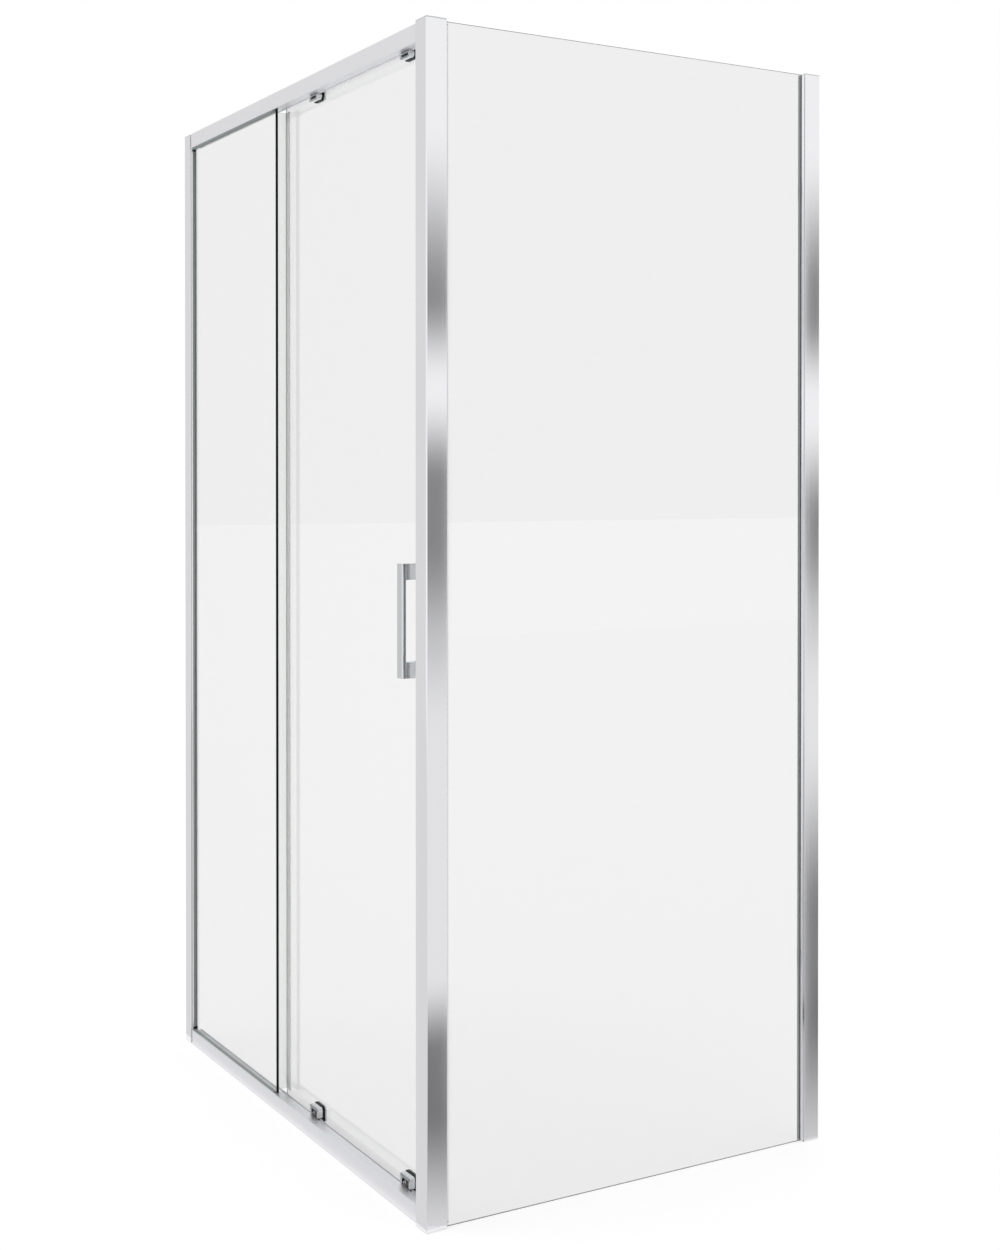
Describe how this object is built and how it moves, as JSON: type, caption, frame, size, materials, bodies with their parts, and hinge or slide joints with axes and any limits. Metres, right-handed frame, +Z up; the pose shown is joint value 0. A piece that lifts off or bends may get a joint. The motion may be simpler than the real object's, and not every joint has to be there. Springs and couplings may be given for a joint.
{
  "type": "shower enclosure with sliding door",
  "caption": "Corner shower enclosure: a clear sliding door and a fixed pane between rails beside a corner post, with a clear side panel and a profile at each wall.",
  "frame": {"origin": "middle of the footprint, at floor level", "axes": "+X along the front from the wall profile to the corner post, +Y from the front into the shower, +Z up"},
  "size_m": [1.1, 0.79, 1.9],
  "materials": {
    "polished_aluminium": "bright polished extrusion",
    "clear_glass": "clear toughened glass, green edges",
    "clear_vinyl": "clear extruded vinyl",
    "magnet": "grey magnetic strip",
    "gasket_rubber": "grey glazing strip",
    "clear_washer": "clear nylon",
    "chrome": "mirror chrome",
    "black_nylon": "moulded black nylon",
    "wheel_nylon": "amber nylon tyre",
    "grey_plastic": "moulded light grey",
    "stainless_steel": "stainless steel"
  },
  "bodies": {
    "enclosure": {"front_wall_profile": "polished_aluminium", "side_wall_profile": "polished_aluminium", "front_jamb_profile": "polished_aluminium", "side_jamb_profile": "polished_aluminium", "fixed_glass_jamb_gaskets": "gasket_rubber", "side_glass_jamb_gaskets": "gasket_rubber", "jamb_screws": "stainless_steel", "jamb_screw_caps": "grey_plastic", "wall_profile_caps": "grey_plastic", "corner_post": "polished_aluminium", "corner_post_cap": "grey_plastic", "side_glass_post_gaskets": "gasket_rubber", "bottom_rail": "polished_aluminium", "top_rail": "polished_aluminium", "bottom_rail_gaskets": "gasket_rubber", "top_rail_gaskets": "gasket_rubber", "rail_end_blocks": "black_nylon", "rail_screws": "stainless_steel", "groove_fillers": "polished_aluminium", "track_stops": "black_nylon", "fixed_glass": "clear_glass", "side_glass": "clear_glass", "post_magnet_seal": "clear_vinyl", "post_magnet": "magnet"},
    "door": {"door_glass": "clear_glass", "door_trailing_seal": "clear_vinyl", "door_magnet_seal": "clear_vinyl", "door_magnet": "magnet", "outer_handle": "chrome", "inner_handle": "chrome", "handle_washers": "clear_washer", "handle_bushes": "clear_washer", "handle_studs": "stainless_steel", "top_roller_axles": "stainless_steel", "roller_inner_plates": "stainless_steel", "roller_screws": "stainless_steel", "roller_bushes": "clear_washer", "top_leading_roller_cover": "chrome", "top_leading_roller_base": "black_nylon", "top_trailing_roller_cover": "chrome", "top_trailing_roller_base": "black_nylon", "bottom_leading_roller_cover": "chrome", "bottom_leading_roller_base": "black_nylon", "bottom_trailing_roller_cover": "chrome", "bottom_trailing_roller_base": "black_nylon", "top_leading_roller_carrier": "black_nylon", "bottom_leading_roller_spring": "stainless_steel", "top_trailing_roller_carrier": "black_nylon", "bottom_trailing_roller_spring": "stainless_steel"},
    "leading_release": {"bottom_leading_roller_carriage": "black_nylon", "bottom_leading_roller_axle": "stainless_steel"},
    "bottom_leading_wheel": {"bottom_leading_roller_wheel": "wheel_nylon"},
    "top_leading_wheel": {"top_leading_roller_wheel": "wheel_nylon", "top_leading_roller_bearing": "stainless_steel"},
    "trailing_release": {"bottom_trailing_roller_carriage": "black_nylon", "bottom_trailing_roller_axle": "stainless_steel"},
    "bottom_trailing_wheel": {"bottom_trailing_roller_wheel": "wheel_nylon"},
    "top_trailing_wheel": {"top_trailing_roller_wheel": "wheel_nylon", "top_trailing_roller_bearing": "stainless_steel"}
  },
  "joints": [
    {"name": "door_slide", "type": "slide", "parent": "enclosure", "child": "door", "axis": [-1, 0, 0], "range_m": [0, 0.42]},
    {"name": "leading_release_lift", "type": "slide", "parent": "door", "child": "leading_release", "axis": [0, 0, 1], "range_m": [0, 0.0022], "stiffness_N_per_m": 900, "springref_m": -0.003, "deforming": ["bottom_leading_roller_spring"]},
    {"name": "top_leading_wheel_spin", "type": "hinge", "parent": "door", "child": "top_leading_wheel", "pos_m": [0.429, -0.38075, 1.8831], "axis": [0, 1, 0], "continuous": true},
    {"name": "bottom_leading_wheel_spin", "type": "hinge", "parent": "leading_release", "child": "bottom_leading_wheel", "pos_m": [0.429, -0.38075, 0.0345], "axis": [0, 1, 0], "continuous": true},
    {"name": "trailing_release_lift", "type": "slide", "parent": "door", "child": "trailing_release", "axis": [0, 0, 1], "range_m": [0, 0.0022], "stiffness_N_per_m": 900, "springref_m": -0.003, "deforming": ["bottom_trailing_roller_spring"]},
    {"name": "top_trailing_wheel_spin", "type": "hinge", "parent": "door", "child": "top_trailing_wheel", "pos_m": [0.0665, -0.38075, 1.8831], "axis": [0, 1, 0], "continuous": true},
    {"name": "bottom_trailing_wheel_spin", "type": "hinge", "parent": "trailing_release", "child": "bottom_trailing_wheel", "pos_m": [0.0665, -0.38075, 0.0345], "axis": [0, 1, 0], "continuous": true}
  ],
  "couplings": [
    {"joint": "top_leading_wheel_spin", "follows": "door_slide", "rad_per_m": -125},
    {"joint": "bottom_leading_wheel_spin", "follows": "door_slide", "rad_per_m": -161.29},
    {"joint": "top_trailing_wheel_spin", "follows": "door_slide", "rad_per_m": -125},
    {"joint": "bottom_trailing_wheel_spin", "follows": "door_slide", "rad_per_m": -161.29}
  ]
}
